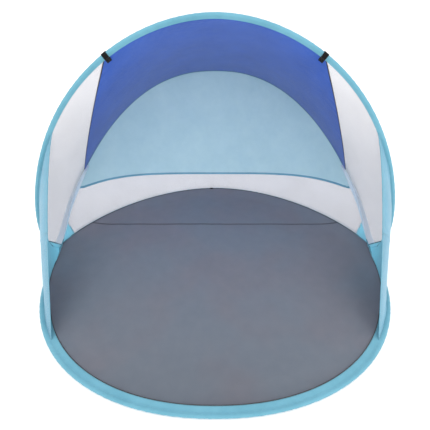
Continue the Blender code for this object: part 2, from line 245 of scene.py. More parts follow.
HALF_WIDTH = 0.987
RING_STEP = 0.033
VERTEX_OFFSET = 0.066
CROSSING_BEND = 0.15
WAIST_DEPTH = 0.025
WAIST_SPAN = 0.20
WIRE_LEVEL = 0.0064
WIRE_RADIUS = 0.0016
FRONT_LEAN = math.radians(8.3)
REAR_LEAN = math.radians(51.8)
LEFT, RIGHT = -1.0, 1.0
SIDES = {"left": LEFT, "right": RIGHT}


def unit(vectors):
    """Each vector, made one long."""
    return vectors / np.linalg.norm(vectors, axis=-1, keepdims=True)


class HalfRing:
    """Half a wire ring, from the side crossing (share 0) to the middle of the shelter (share 1)."""

    def __init__(self, half_width, vertex_y, arch, ground, standing, reach, powers, count=1400):
        turn = np.linspace(0.0, math.pi / 2, count)
        out = reach * np.sin(turn) ** (2 / powers[0])
        width = half_width * np.abs(np.cos(turn)) ** (2 / powers[1])
        width -= WAIST_DEPTH * np.exp(-((out / WAIST_SPAN) ** 2))
        along = out if standing else -out
        bend = np.hypot(along, CROSSING_BEND)
        side = ((along + bend)[:, None] * arch + (bend - along)[:, None] * ground) / 2
        points = np.column_stack([width, vertex_y + side[:, 0], WIRE_LEVEL + side[:, 1]])
        points[-1, 0] = 0.0
        self.points = points
        steps = np.linalg.norm(np.diff(points, axis=0), axis=1)
        run = np.concatenate([[0.0], np.cumsum(steps)])
        self.length = run[-1]
        self.shares = run / run[-1]

    def settle(self, shift):
        """Moves the ring to its place over the footprint, and works out the directions across it."""
        self.points[:, 1] += shift
        points = self.points
        ahead = unit(np.gradient(points, axis=0))
        ahead[-1] = (-1.0, 0.0, 0.0)
        both = np.vstack([points, points * (-1, 1, 1)])
        across = points - both.mean(axis=0)
        across = unit(across - ahead * (across * ahead).sum(axis=1)[:, None])
        across[-1, 0] = 0.0
        self.across = across
        self.out = np.cross(ahead, across)

    def values(self, table, share, side):
        share = np.atleast_1d(share)
        found = np.stack([np.interp(share, self.shares, table[:, axis]) for axis in range(3)], axis=-1)
        found[..., 0] *= side
        return found

    def place(self, share, side=RIGHT):
        return self.values(self.points, share, side)

    def outwards(self, share, side=RIGHT):
        """The direction away from the middle of the ring, in its plane."""
        return self.values(self.across, share, side)

    def faceward(self, share, side=RIGHT):
        """The direction square to the ring's plane."""
        return self.values(self.out, share, side)

    def inside(self, share, inset, side=RIGHT):
        """Points in the ring's plane, an inset in from its wire."""
        return self.place(share, side) - self.outwards(share, side) * np.reshape(inset, (-1, 1))

    def whole(self, start, count):
        """Shares and sides of evenly spaced points, from the right crossing to the left one."""
        right = np.linspace(start, 1.0, count)
        share = np.concatenate([right, right[-2::-1]])
        side = np.concatenate([np.full(count, RIGHT), np.full(count - 1, LEFT)])
        return share, side


def rings():
    front_up = np.array([math.sin(FRONT_LEAN), math.cos(FRONT_LEAN)])
    rear_up = np.array([math.sin(REAR_LEAN), math.cos(REAR_LEAN)])
    back, front = np.array([1.0, 0.0]), np.array([-1.0, 0.0])
    one = (HALF_WIDTH, -VERTEX_OFFSET, front_up, back)
    two = (HALF_WIDTH - RING_STEP, VERTEX_OFFSET, rear_up, front)
    made = {
        "front_arch": HalfRing(*one, True, 1.293, (2.23, 1.92)),
        "rear_ground": HalfRing(*one, False, 0.816, (1.63, 1.87)),
        "rear_arch": HalfRing(*two, True, 1.266, (1.63, 2.28)),
        "front_ground": HalfRing(*two, False, 0.981, (2.57, 2.15)),
    }
    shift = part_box("front_ground_wire")[0].y + WIRE_RADIUS - made["front_ground"].points[:, 1].min()
    for half in made.values():
        half.settle(shift)
    return made


RINGS = rings()
JOINTS = {joint["name"]: joint for joint in frame["record"]["behaviour"]["joints"]}
FOLD = np.array(JOINTS["floor_fold"]["pos_m"], float)


def drawn_wire():
    """Drawn spring wire: fine lines along it, an oiled grey with a few dull spots."""
    steel = Finish("drawn_spring_wire", metallic=1.0, roughness=0.32)
    lines = steel.cloud(900.0, 2.0)
    dull = steel.cloud(14.0, 4.0)
    steel.feed("Base Color", steel.shades(dull, (0.35, (0.40, 0.41, 0.43)), (0.7, (0.56, 0.57, 0.59))))
    steel.feed("Roughness", (0.24 + lines * 0.12 + dull * 0.12).kept())
    steel.bump(lines, 0.00004, 0.6)
    return steel.material


def crimped_tube():
    steel = Finish("crimped_ferrule", metallic=1.0, roughness=0.4)
    marks = steel.cloud(220.0, 3.0)
    steel.feed("Base Color", steel.shades(marks, (0.3, (0.34, 0.35, 0.37)), (0.75, (0.50, 0.51, 0.52))))
    steel.bump(marks, 0.0001, 0.7)
    return steel.material


wire_steel, ferrule_steel = drawn_wire(), crimped_tube()
for node_name, node in frame["nodes"].items():
    if node_name.endswith("_wire") or node_name.endswith("_ferrule"):
        node.data.materials.clear()
        node.data.materials.append(wire_steel if node_name.endswith("_wire") else ferrule_steel)

# ---- Ring sleeves -----------------------------------------------------------------------------
# Each wire runs in a channel of light blue polyester, folded lengthways and closed with a row of
# lockstitch.  The cloth is a little full, so it puckers along the wire; the front one is widest.

SLEEVE_HALF_THICKNESS = 0.0054
CHANNEL = 0.014
FLAP_THICKNESS = 0.0010
# How far each sleeve reaches from its wire, inwards and outwards.
SLEEVE_REACH = {
    "front_arch": (0.0130, 0.0130),
    "rear_arch": (0.0100, 0.0150),
    "rear_ground": (0.0100, 0.0150),
    "front_ground": (0.0400, 0.0130),
}
SLEEVE_BODY = {"front_arch": "front_arch", "rear_arch": "rear_arch",
               "rear_ground": "rear_floor", "front_ground": "front_floor"}
NARROW_REACH = 0.006
NARROWING_SHARES = (0.08, 0.30)
SLEEVE_STEPS = 420
SEAM_INSET = 0.0095
BAND_SEAM_INSET = 0.004
THREAD_LIFT = 0.0001


def inner_reach(name, share):
    """How far a sleeve's cloth reaches in from its wire: the wide front band narrows to the crossing."""
    full = SLEEVE_REACH[name][0]
    narrow = NARROW_REACH if name == "front_ground" else full
    return np.interp(share, NARROWING_SHARES, (narrow, full))


def pucker(run, phase=0.0):
    """The small uneven waves of gathered cloth, along a seam, from about -1 to 1."""
    slow = np.sin(run * 2 * math.pi / 0.27 + phase)
    first = np.sin(run * 2 * math.pi / 0.043 + 1.9 * slow + phase)
    second = np.sin(run * 2 * math.pi / 0.027 + 2.3 * np.sin(run * 2 * math.pi / 0.19 + 2 * phase))
    return (first + 0.6 * second) / 1.6


def woven_blue(name, deep, full, sheen=0.25, roughness=0.55, through=0.06, corner=None):
    """Plain woven polyester: a fine over-and-under weave, soft creases and slightly uneven dye.

    It is thin, so part of the light that falls on one face comes through to the other.  With corner, the
    colour starts in that paler shade at the crossing and fades into the dye over the first 0.36 m: painted
    light for a corner that lies in shade.
    """
    weave, wrinkle, painted_light_length = 0.0011, 0.0016, 0.36
    woven = Finish(name, roughness=roughness, sheen=sheen, specular=0.35)
    along, across = woven.cloth_uv()
    turns = 2 * math.pi / weave
    threads = (along * turns).wave() * (across * turns).wave()
    patches = woven.cloud(7.0, 4.0, 0.55)
    creases = woven.cloud(26.0, 3.0, 0.5)
    slubs = woven.cloud(420.0, 2.0)
    tone = (patches * 0.65 + creases * 0.25 + slubs * 0.10).kept()
    dye = woven.shades(tone, (0.30, deep), (0.70, full))
    # Painted light: near the crossing the colour is lifted to the paler corner shade.
    if corner:
        dye = woven.tint((along / painted_light_length).kept(), corner, dye)
    woven.feed("Base Color", dye)
    woven.feed("Roughness", (roughness - 0.10 + creases * 0.2).kept())
    woven.bump(creases * 0.9 + threads * 0.045 + slubs * 0.03, wrinkle)
    woven.let_through(dye, through)
    return woven.material


LIGHT_BLUE = woven_blue("light_blue_cloth", (0.096, 0.300, 0.395), (0.140, 0.375, 0.480))


def run_over(grid):
    """Distances over a sheet, in metres: down it from its first row, and across from its first column."""
    down = np.cumsum(np.linalg.norm(np.diff(grid, axis=0), axis=2), axis=0)
    across = np.cumsum(np.linalg.norm(np.diff(grid, axis=1), axis=2), axis=1)
    return np.pad(down, ((1, 0), (0, 0))), np.pad(across, ((0, 0), (1, 0)))


def cloth(name, grid, surface, thickness=0.0008, weld=False, solid=False):
    """Makes a sheet of cloth from a grid of points, with its own length and width as its UV map.

    With solid, the grid is already a closed skin and only its open ends are filled.
    """
    grid = np.asarray(grid, float)
    at = np.arange(grid[..., 0].size).reshape(grid.shape[:2])
    faces = np.stack([at[:-1, :-1], at[:-1, 1:], at[1:, 1:], at[1:, :-1]], axis=-1).reshape(-1, 4)
    mesh = bpy.data.meshes.new(name)
    mesh.from_pydata(grid.reshape(-1, 3).tolist(), [], faces.tolist())
    measured = mesh.uv_layers.new(name="cloth")
    flat = np.stack(run_over(grid), axis=-1).reshape(-1, 2)
    measured.data.foreach_set("uv", flat[faces.ravel()].ravel().astype(np.float32))
    if weld or solid:
        work = bmesh.new()
        work.from_mesh(mesh)
        bmesh.ops.remove_doubles(work, verts=work.verts, dist=0.00002)
        bmesh.ops.dissolve_degenerate(work, edges=work.edges, dist=0.00001)
        if solid:
            open_edges = [edge for edge in work.edges if edge.is_boundary]
            bmesh.ops.holes_fill(work, edges=open_edges)
            bmesh.ops.recalc_face_normals(work, faces=work.faces)
        work.to_mesh(mesh)
        work.free()
    mesh.materials.append(surface)
    mesh.shade_smooth()
    made = bpy.data.objects.new(name, mesh)
    bpy.context.scene.collection.objects.link(made)
    if not solid:
        wall = made.modifiers.new("thickness", "SOLIDIFY")
        wall.thickness = thickness
        wall.offset = 0.0
        settle_modifiers(made)
    return made


def cut_area(grid):
    """The area of a sheet's cut panel, in square metres."""
    first, second = np.diff(grid, axis=0)[:, :-1], np.diff(grid, axis=1)[:-1]
    return float(np.linalg.norm(np.cross(first, second), axis=2).sum())


def cut_size(grid):
    """The longest side of a three-cornered panel's cut, and its height over that side, in metres."""
    sides = [np.linalg.norm(np.diff(grid, axis=axis), axis=2).sum(axis=axis).max() for axis in (0, 1)]
    longest = float(max(sides))
    return longest, 2 * cut_area(grid) / longest


def settle_modifiers(made):
    """Turns what a piece's modifiers make into its own plain mesh."""
    bpy.context.view_layer.update()
    graph = bpy.context.evaluated_depsgraph_get()
    final = bpy.data.meshes.new_from_object(made.evaluated_get(graph), depsgraph=graph)
    made.modifiers.clear()
    final.name = made.name
    made.data = final


def swept(name, line, first, second, section, surface):
    """Sweeps a closed outline along a line.  first and second are the directions of its two axes."""
    section = np.asarray(section, float)
    if section.ndim == 2:
        section = np.broadcast_to(section, (len(line),) + section.shape)
    section = np.concatenate([section, section[:, :1]], axis=1)
    grid = line[:, None] + section[..., :1] * first[:, None] + section[..., 1:] * second[:, None]
    return cloth(name, grid, surface, solid=True)


def channel_section(reaches_in, reach_out, swell):
    """A sleeve's outline at each step along it: round over the wire, flat at the stitched edge."""
    over = np.linspace(-math.pi / 2, math.pi / 2, 9)
    inner = np.linspace(0.0, 1.0, 7)[1:]
    shapes = []
    for puff, reach_in in zip(swell, reaches_in):
        thick = SLEEVE_HALF_THICKNESS * (1 + 0.20 * puff)
        taper = np.maximum(0.0, 1 - inner * reach_in / CHANNEL) ** 1.4
        rise = FLAP_THICKNESS + (thick - FLAP_THICKNESS) * taper
        outer = [((reach_out + 0.0005 * puff) * math.cos(t), thick * math.sin(t)) for t in over]
        top = [(-reach_in * s, h) for s, h in zip(inner, rise)]
        low = [(-reach_in * s, -h) for s, h in zip(inner, rise)][::-1]
        shapes.append(outer + top + low)
    return np.array(shapes)


def stitch_rows():
    """A node tree that lays short rounded stitches end to end along seam lines."""
    tree = bpy.data.node_groups.new("lockstitch_rows", "GeometryNodeTree")
    face = tree.interface
    face.new_socket("Seam Lines", in_out="INPUT", socket_type="NodeSocketGeometry")
    for label, size in (("Stitch Pitch", 0.0045), ("Stitch Length", 0.0034), ("Thread Width", 0.0008)):
        socket = face.new_socket(label, in_out="INPUT", socket_type="NodeSocketFloat")
        socket.default_value = size
    face.new_socket("Thread", in_out="INPUT", socket_type="NodeSocketMaterial")
    face.new_socket("Stitches", in_out="OUTPUT", socket_type="NodeSocketGeometry")
    kinds = {
        "given": "NodeGroupInput", "result": "NodeGroupOutput", "curve": "GeometryNodeMeshToCurve",
        "even": "GeometryNodeResampleCurve", "points": "GeometryNodeCurveToPoints",
        "bead": "GeometryNodeMeshIcoSphere", "turn": "FunctionNodeAlignRotationToVector",
        "scale": "ShaderNodeCombineXYZ", "laid": "GeometryNodeInstanceOnPoints",
        "real": "GeometryNodeRealizeInstances", "thread": "GeometryNodeSetMaterial",
    }
    nodes = {label: tree.nodes.new(kind) for label, kind in kinds.items()}
    nodes["even"].mode = "LENGTH"
    nodes["points"].mode = "EVALUATED"
    nodes["bead"].inputs["Radius"].default_value = 0.5
    nodes["bead"].inputs["Subdivisions"].default_value = 1
    nodes["turn"].axis = "X"
    for start, output, end, socket in (
        ("given", "Seam Lines", "curve", "Mesh"), ("curve", "Curve", "even", "Curve"),
        ("given", "Stitch Pitch", "even", "Length"), ("even", "Curve", "points", "Curve"),
        ("points", "Points", "laid", "Points"), ("points", "Tangent", "turn", "Vector"),
        ("turn", "Rotation", "laid", "Rotation"), ("bead", "Mesh", "laid", "Instance"),
        ("given", "Stitch Length", "scale", "X"), ("given", "Thread Width", "scale", "Y"),
        ("given", "Thread Width", "scale", "Z"), ("scale", "Vector", "laid", "Scale"),
        ("laid", "Instances", "real", "Geometry"), ("real", "Geometry", "thread", "Geometry"),
        ("given", "Thread", "thread", "Material"), ("thread", "Geometry", "result", "Stitches"),
    ):
        tree.links.new(nodes[start].outputs[output], nodes[end].inputs[socket])
    return tree


def sewing_thread(name, shade, dark):
    spun = Finish(name, roughness=0.5, sheen=0.2)
    twist = spun.cloud(1500.0, 2.0)
    spun.feed("Base Color", spun.shades(twist, (0.3, dark), (0.7, shade)))
    spun.bump(twist, 0.0001, 0.5)
    return spun.material


STITCH_ROWS = stitch_rows()
BLUE_THREAD = sewing_thread("blue_thread", (0.19, 0.42, 0.52), (0.10, 0.27, 0.36))


def stitches(name, lines, thread, sizes=()):
    """Sews rows of stitches along lines of points that already lie on the cloth."""
    vertices, edges = [], []
    for line in lines:
        start = len(vertices)
        vertices += np.asarray(line, float).tolist()
        edges += [(start + k, start + k + 1) for k in range(len(line) - 1)]
    mesh = bpy.data.meshes.new(name)
    mesh.from_pydata(vertices, edges, [])
    made = bpy.data.objects.new(name, mesh)
    bpy.context.scene.collection.objects.link(made)
    sewing = made.modifiers.new("sewing", "NODES")
    sewing.node_group = STITCH_ROWS
    keys = {item.name: item.identifier for item in STITCH_ROWS.interface.items_tree if item.in_out == "INPUT"}
    sewing[keys["Thread"]] = thread
    for label, size in dict(sizes).items():
        sewing[keys[label]] = size
    settle_modifiers(made)
    return made


def sew_in(follow, slot, *pieces):
    """Lets each piece follow its bodies.  The slot is not used."""
    for piece in pieces:
        follow(piece)


def make_sleeve(name):
    half = RINGS[name]
    share, side = half.whole(0.0, SLEEVE_STEPS)
    reach_in, reach_out = inner_reach(name, share), SLEEVE_REACH[name][1]
    run = np.where(side > 0, share, 2 - share) * half.length
    swell = pucker(run, phase=len(name) * 0.7)
    line, away, out = half.place(share, side), half.outwards(share, side), half.faceward(share, side)
    section = channel_section(reach_in, reach_out, swell)
    sleeve = swept(name + "_channel", line, away, out, section, LIGHT_BLUE)
    ends = ("_left", "_right") if name == "rear_ground" else ("",)
    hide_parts(*[name + "_sleeve" + end for end in ends])
    seam_in = np.minimum(SEAM_INSET, 0.75 * reach_in)
    seam_rise = FLAP_THICKNESS + (SLEEVE_HALF_THICKNESS - FLAP_THICKNESS) * (1 - seam_in / CHANNEL) ** 1.4
    rows = []
    for face in (1, -1):
        lift = (seam_rise + THREAD_LIFT) * (1 + 0.08 * swell)
        rows.append(line - away * seam_in[:, None] + out * (face * lift)[:, None])
        if name == "front_ground":
            flat = out * face * (FLAP_THICKNESS + THREAD_LIFT)
            rows.append(line - away * (reach_in - BAND_SEAM_INSET)[:, None] + flat)
    seam = stitches(name + "_channel_stitches", rows, BLUE_THREAD)
    sew_in(lambda piece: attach(piece, SLEEVE_BODY[name]), "light_blue_polyester", sleeve, seam)


for name in RINGS:
    make_sleeve(name)

# ---- Roof -------------------------------------------------------------------------------------
# One piece of coated dark blue polyester between the two arches, sewn to the inner edges of their
# sleeves.  It dips a little, and light creases run in from its webbing corners.

ROOF_FRONT_CORNER = 0.693
ROOF_REAR_CORNER = 0.300
ROOF_BOW = 0.018
ROOF_SAG = 0.020
REAR_SEAM = 0.0075
FRONT_SEAM = 0.0115
TAPER_SHARE = 0.04
ROOF_STEPS, ROOF_CELLS = 181, 81
DARK_BLUE = woven_blue("dark_blue_cloth", (0.032, 0.106, 0.480), (0.048, 0.142, 0.600),
                       sheen=0.15, roughness=0.5)
NAVY_THREAD = sewing_thread("navy_thread", (0.05, 0.08, 0.26), (0.025, 0.04, 0.15))


def normals_of(grid):
    """The direction square to the cloth at each point of its grid."""
    square = np.cross(np.gradient(grid, axis=0), np.gradient(grid, axis=1))
    size = np.linalg.norm(square, axis=-1, keepdims=True)
    return square / np.maximum(size, 1e-9)


def from_edges(grid):
    """For each point of a grid, how far it is along each way from the four edges, in metres."""
    run, wide = run_over(grid)
    return run, run[-1] - run, wide, wide[:, -1:] - wide


def gathered(grid, height=0.0014, fade=0.040, edges=(True, True, True, True), phase=0.0, drift=0.002):
    """Puckers a sheet along its sewn edges and gives it a slight unevenness between them."""
    first, last, near, far = from_edges(grid)
    lift = np.zeros(grid.shape[:2])
    ways = ((first, near, 0.0), (last, near, 1.1), (near, first, 2.3), (far, first, 3.7))
    for on, (away, run, shift) in zip(edges, ways):
        if on:
            held = np.exp(-away / fade) * np.minimum(1.0, away / 0.004)
            lift += height * pucker(run, phase + shift) * held
    slow = np.sin(first * 7.3 + phase) * np.sin(near * 5.9 + 1.3 * phase)
    slow += 0.6 * np.sin(first * 13.1 - near * 9.7 + phase)
    hold = np.minimum.reduce([first, last, near, far])
    lift += drift * slow * (1 - np.exp(-hold / 0.10))
    return grid + normals_of(grid) * lift[..., None]


def roof_line(share):
    """The roof's bow outwards at its side, and its dip, part of the way from front to rear arch."""
    hump = 4 * share * (1 - share)
    return ROOF_BOW * hump, -ROOF_SAG * hump


def stretched(start, finish, side, cells):
    """Straight lines of cloth from one half ring's sleeve to another's: one row for each pair of shares.

    start and finish each give a half ring's name, the shares along it and the inset from its wire,
    which tapers away at the crossing.
    """
    ends = []
    for name, share, inset in (start, finish):
        ends.append(RINGS[name].inside(share, inset * np.minimum(1.0, share / TAPER_SHARE), side))
    return np.linspace(ends[0], ends[1], cells, axis=1)


def roof_grid():
    across = np.linspace(-1.0, 1.0, ROOF_STEPS)
    side = np.where(across < 0, LEFT, RIGHT)
    far = np.abs(across)
    grid = stretched(("front_arch", 1 - far * (1 - ROOF_FRONT_CORNER), FRONT_SEAM),
                     ("rear_arch", 1 - far * (1 - ROOF_REAR_CORNER), REAR_SEAM), side, ROOF_CELLS)
    back = np.linspace(0.0, 1.0, ROOF_CELLS)
    bow, dip = roof_line(back)
    grid[..., 0] += side[:, None] * bow * far[:, None] ** 3
    grid[..., 2] += dip
    corner = np.exp(-((1 - far[:, None]) / 0.22) ** 2 - (back / 0.35) ** 2)
    folds = np.sin((1 - far[:, None]) * 46 - back * 18)
    grid[..., 2] += 0.0022 * corner * folds * np.minimum(1.0, back / 0.05)
    return gathered(grid, phase=0.4)


ROOF = roof_grid()


def spread(piece):
    """Bakes the piece's place into its own mesh.
    """
    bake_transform(piece)


def between_arches(piece):
    spread(piece)


def beside_edge(grid, edge, inset, lift):
    """A line on the cloth a little way in from one of its edges, on one of its faces."""
    turned = {"first": lambda way: way, "last": lambda way: way[::-1], "near": lambda way: way.swapaxes(0, 1),
              "far": lambda way: way.swapaxes(0, 1)[::-1]}[edge]
    lined, normal = turned(grid), turned(normals_of(grid))
    away = run_over(lined)[0]
    line = np.zeros((lined.shape[1], 3))
    for k in range(lined.shape[1]):
        for axis in range(3):
            line[k, axis] = np.interp(inset, away[:, k], lined[:, k, axis] + normal[:, k, axis] * lift)
    return line


def seam_rows(grid, lift, *places):
    """Stitch lines on both faces of a cloth.  Each place is an edge and an inset from it."""
    return [beside_edge(grid, edge, inset, face * lift) for edge, inset in places for face in (1, -1)]


FACE_LIFT = 0.0005
ROOF_SEAM_INSET = 0.006
roof = cloth("roof_cloth", ROOF, DARK_BLUE)
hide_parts("roof_panel")
roof_rows = seam_rows(ROOF, FACE_LIFT, ("near", ROOF_SEAM_INSET), ("far", ROOF_SEAM_INSET))
roof_stitches = stitches("roof_seam_stitches", roof_rows, NAVY_THREAD)
sew_in(between_arches, "dark_blue_polyester", roof, roof_stitches)

# ---- Roof side bindings -----------------------------------------------------------------------
# A narrow dark tape is folded over each raw side edge of the roof and sewn through, and the mesh
# window is caught in the same seam.

BINDING_HALF_WIDTH = 0.0026
BINDING_HALF_THICKNESS = 0.0011


def tape_black(name, tone, ribs=0.0016, strength=0.0004):
    """Woven tape: fine ribs across it, with a dry, slightly dusty black."""
    tape = Finish(name, roughness=0.85, sheen=0.05, specular=0.15)
    along, across = tape.cloth_uv()
    rib = (along * (2 * math.pi / ribs)).wave() * 0.5 + 0.5
    cross = (across * (2 * math.pi / (ribs * 0.8))).wave() * 0.5 + 0.5
    dust = tape.cloud(60.0, 4.0)
    wear = (dust * 0.7 + rib * 0.2 + cross * 0.1).kept()
    dusty = (tone * 2.2, tone * 2.2, tone * 2.4)
    tape.feed("Base Color", tape.shades(wear, (0.3, (tone * 0.6,) * 3), (0.8, dusty)))
    tape.feed("Roughness", (0.70 + dust * 0.2).kept())
    tape.bump(rib * 0.7 + cross * 0.3, strength)
    return tape.material


BINDING_TAPE = tape_black("binding_tape", tone=0.045)
BLACK_THREAD = sewing_thread("black_thread", (0.035, 0.035, 0.04), (0.012, 0.012, 0.014))


def oval(wide, thick, count=12, power=0.6):
    """A flattened oval outline."""
    turn = np.linspace(0.0, 2 * math.pi, count, endpoint=False)
    c, s = np.cos(turn), np.sin(turn)
    return np.column_stack([wide * np.sign(c) * np.abs(c) ** power, thick * np.sign(s) * np.abs(s) ** power])


def directions_along(line, normal):
    """For a line on a cloth: the direction across it that lies in the cloth, and the cloth's normal."""
    ahead = unit(np.gradient(line, axis=0))
    across = unit(np.cross(normal, ahead))
    return across, np.cross(ahead, across)


for label, row in (("left", 0), ("right", -1)):
    edge = ROOF[row]
    across, lifted = directions_along(edge, normals_of(ROOF)[row])
    outline = oval(BINDING_HALF_WIDTH, BINDING_HALF_THICKNESS)
    binding = swept("roof_binding_tape_" + label, edge, across, lifted, outline, BINDING_TAPE)
    rows = [edge + lifted * face * (BINDING_HALF_THICKNESS + THREAD_LIFT) for face in (1, -1)]
    seam = stitches("roof_binding_stitches_" + label, rows, BLACK_THREAD,
                    {"Stitch Pitch": 0.004, "Stitch Length": 0.003, "Thread Width": 0.0007})
    sew_in(between_arches, "black_webbing", binding, seam)
    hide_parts("roof_binding_" + label)

# ---- Side mesh windows ------------------------------------------------------------------------
# Fine white knitted mesh fills each side between the two arches.  It is soft, so it hangs in
# faint ripples between its seams.

WINDOW_FOOT_FRONT = 0.040
WINDOW_FOOT_REAR = 0.008
WINDOW_STEPS, WINDOW_CELLS = 91, 61
MESH_THICKNESS = 0.0005


def knitted_mesh(name, solid_share, pitch=0.0022):
    """Knitted mesh: small holes in offset rows, in soft white yarn."""
    net = Finish(name, roughness=0.75, sheen=0.3, specular=0.2)
    along, across = net.cloth_uv()
    turns = 2 * math.pi / pitch
    holes = ((along + across * 0.5) * turns).wave() * ((along - across * 0.5) * turns).wave()
    cloud = net.cloud(5.0, 3.0)
    net.feed("Base Color", net.shades(cloud, (0.3, (0.80, 0.79, 0.81)), (0.7, (0.86, 0.85, 0.87))))
    net.feed("Alpha", (solid_share + holes * 0.22 + (cloud - 0.5) * 0.06).kept())
    net.bump(holes * 0.5 + 0.5, 0.0003, 0.5)
    return net.material


WHITE_MESH = knitted_mesh("white_mesh_cloth", solid_share=0.66)


def window_grid(side):
    up = np.linspace(0.0, 1.0, WINDOW_STEPS)
    front = WINDOW_FOOT_FRONT + (ROOF_FRONT_CORNER - WINDOW_FOOT_FRONT) * up
    rear = WINDOW_FOOT_REAR + (ROOF_REAR_CORNER - WINDOW_FOOT_REAR) * up
    grid = stretched(("front_arch", front, FRONT_SEAM), ("rear_arch", rear, REAR_SEAM), side, WINDOW_CELLS)
    bow, dip = roof_line(np.linspace(0.0, 1.0, WINDOW_CELLS))
    grid[..., 0] += side * bow * up[:, None] ** 3
    grid[..., 2] += dip * up[:, None]
    return gathered(grid, height=0.0012, edges=(False, False, True, True), phase=1.0 + side, drift=0.0025)


WINDOWS = {label: window_grid(side) for label, side in SIDES.items()}
for label, grid in WINDOWS.items():
    window = cloth("side_window_" + label, grid, WHITE_MESH, thickness=MESH_THICKNESS)
    sew_in(between_arches, "white_mesh", window)
    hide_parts("side_mesh_" + label)

# The mesh's rear edge is bound with a pale grey-blue tape on the inside, all down the rear arch.
EDGE_TAPE = woven_blue("window_edge_tape_cloth", (0.710, 0.790, 0.870), (0.800, 0.860, 0.920), through=0.04)
EDGE_TAPE_WIDTHS = (0.060, 0.058, 0.020)
EDGE_TAPE_STEP = 0.0018
for label, grid in WINDOWS.items():
    wide = np.interp(np.linspace(0.0, 1.0, WINDOW_STEPS), (0.0, 0.5, 1.0), EDGE_TAPE_WIDTHS)
    tape_grid = np.array([[beside_edge(grid, "far", inset, 0.0)[k] for k, inset in enumerate(wide * part)]
                          for part in np.linspace(0.0, 1.0, 8)])
    tape_grid[..., 0] -= SIDES[label] * EDGE_TAPE_STEP
    tape = cloth("window_edge_tape_" + label, tape_grid, EDGE_TAPE, thickness=0.0006)
    sew_in(between_arches, "light_blue_polyester", tape)

# ---- Crossing patches -------------------------------------------------------------------------
# Where the rings cross, a small triangle of light blue cloth closes the foot of each window.

PATCH_FOOT = 0.0
PATCH_THICKNESS = 0.0010
PATCH_OVERLAP = 0.004
PATCH_STEP = 0.0022
PATCH_LIFT = FACE_LIFT * 1.4
# The corner cloth is a much paler blue than the sleeves: painted light for patches that sit in shade low in
# the corners.
CORNER_PAINTED_LIGHT_BLUE = woven_blue("corner_cloth", (0.400, 0.760, 0.880), (0.470, 0.840, 0.940), through=0.5)
# A near black blue cord along each crossing patch's top edge: painted shade for the crease there.
CREASE_PAINTED_SHADE = woven_blue("corner_crease_painted_shade", (0.040, 0.120, 0.170), (0.060, 0.160, 0.220))


def patch_fan(start, finish, side, phase, steps=31, cells=25):
    """A triangle from the crossing.  start and finish give a half ring, how far up it, and the inset."""
    ends = [(name, np.linspace(PATCH_FOOT, top, steps), inset) for name, top, inset in (start, finish)]
    grid = stretched(*ends, side, cells)
    only_top = (False, True, False, False)
    return gathered(grid, height=0.0010, fade=0.02, edges=only_top, phase=phase, drift=0.0015)


for label, side in SIDES.items():
    grid = patch_fan(("front_arch", WINDOW_FOOT_FRONT + PATCH_OVERLAP, FRONT_SEAM),
                     ("rear_arch", WINDOW_FOOT_REAR + PATCH_OVERLAP, REAR_SEAM), side, phase=side)
    grid[..., 0] -= side * PATCH_STEP
    patch = cloth("crossing_cloth_" + label, grid, CORNER_PAINTED_LIGHT_BLUE, thickness=PATCH_THICKNESS)
    # The crease cord is painted shade along the patch's top edge.
    edge = beside_edge(grid, "last", 0.004, 0.0)
    across, lifted = directions_along(edge, normals_of(grid)[-1])
    crease = swept("crossing_crease_" + label, edge, across, lifted, oval(0.0020, 0.0016), CREASE_PAINTED_SHADE)
    rows = seam_rows(grid, PATCH_LIFT, ("last", 0.008), ("last", 0.012))
    seam = stitches("crossing_stitches_" + label, rows, BLUE_THREAD)
    sew_in(between_arches, "light_blue_polyester", patch, seam, crease)
    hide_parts("crossing_patch_" + label)

# ---- Back panel -------------------------------------------------------------------------------
# The pale blue back hangs from the rear arch, and its curved hem stops short of the ground so that
# air comes in under it.  The hem is turned up twice and sewn.

HEM_DROP = 0.871
HEM_CORNER = 0.237
HEM_POWER = 0.56
BACK_BULGE = 0.030
BACK_STEPS, BACK_CELLS = 201, 71
BACK_SPAN = 0.9985
PALE_BLUE = woven_blue("pale_blue_cloth", (0.460, 0.700, 0.790), (0.550, 0.780, 0.850),
                       sheen=0.2, through=0.10)
PALE_THREAD = sewing_thread("pale_thread", (0.46, 0.70, 0.80), (0.30, 0.52, 0.62))


def hem_points(across):
    """The hem's line from the rear arch on the left to the rear arch on the right."""
    side = np.where(across < 0, LEFT, RIGHT)
    far = np.abs(across)
    share = 1 - far * (1 - HEM_CORNER)
    top = RINGS["rear_arch"].inside(share, REAR_SEAM, side)
    foot = RINGS["rear_ground"].inside(share, REAR_SEAM, side)
    drop = HEM_DROP * (1 - far**2) ** HEM_POWER
    return top, top + (foot - top) * drop[:, None]


def back_grid():
    across = np.linspace(-BACK_SPAN, BACK_SPAN, BACK_STEPS)
    top, hem = hem_points(across)
    down = np.linspace(0.0, 1.0, BACK_CELLS)
    grid = top[:, None] + (hem - top)[:, None] * down[None, :, None]
    grid[..., 1] += BACK_BULGE * 4 * down * (1 - down) * (1 - across[:, None] ** 2)
    return gathered(grid, fade=0.05, edges=(False, False, True, False), phase=2.0, drift=0.003)


BACK = back_grid()


def behind(piece):
    spread(piece)


